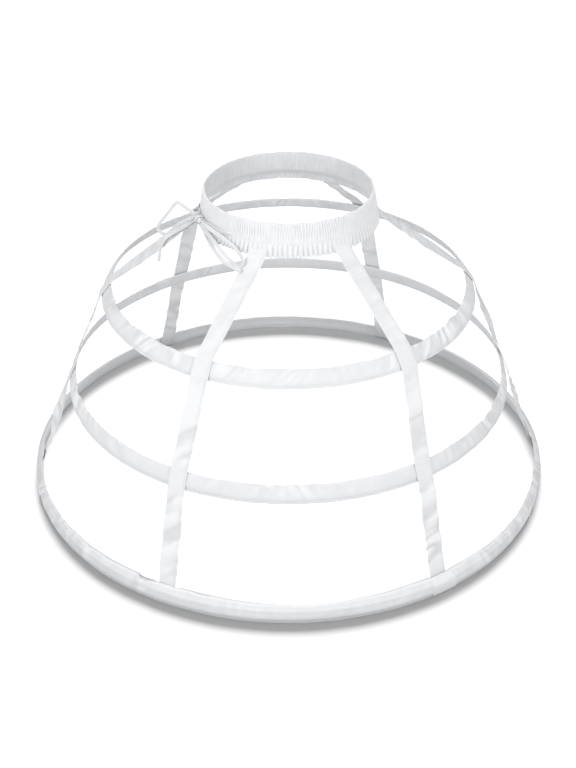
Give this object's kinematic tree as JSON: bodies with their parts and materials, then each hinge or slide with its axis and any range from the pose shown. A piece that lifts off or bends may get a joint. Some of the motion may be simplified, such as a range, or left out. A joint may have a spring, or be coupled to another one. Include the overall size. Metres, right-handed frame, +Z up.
{
  "type": "crinoline cage",
  "caption": "Hoop petticoat frame for historic dress: widening cloth-covered hoops hung on tapes from a gathered elastic waistband with a frill and a tied drawstring.",
  "frame": {"origin": "centre of the waist opening's plan, on the floor plane that the bottom hoop stands on", "axes": "+Z up along the axis of the waistband and hoops, -Y towards the front of the cage, +X to the right as seen from the front"},
  "size_m": [0.7444, 0.7444, 0.4361],
  "materials": {
    "cotton_band": "matte gathered cotton",
    "cotton_casing": "matte cotton tape tube",
    "cotton_tape": "matte cotton tape",
    "cotton_cord": "matte flat braid",
    "elastic_webbing": "ribbed elastic",
    "coated_bone": "coated sprung steel",
    "ferrule_steel": "plated"
  },
  "bodies": {
    "root": {"bottom_hoop_casing": "cotton_casing", "bottom_hoop_bone": "coated_bone", "bottom_hoop_ferrule": "ferrule_steel", "middle_hoop_casing": "cotton_casing", "middle_hoop_bone": "coated_bone", "middle_hoop_ferrule": "ferrule_steel", "top_hoop_casing": "cotton_casing", "top_hoop_bone": "coated_bone", "top_hoop_ferrule": "ferrule_steel", "tape_right": "cotton_tape", "tape_back_right": "cotton_tape", "tape_back_left": "cotton_tape", "tape_left": "cotton_tape", "tape_front_left": "cotton_tape", "tape_front_right": "cotton_tape", "waistband": "cotton_band", "waist_elastic": "elastic_webbing", "drawstring": "cotton_cord", "bow_knot": "cotton_cord", "bow_left_loop": "cotton_cord", "bow_right_loop": "cotton_cord", "bow_left_tail": "cotton_cord", "bow_right_tail": "cotton_cord"}
  },
  "joints": []
}
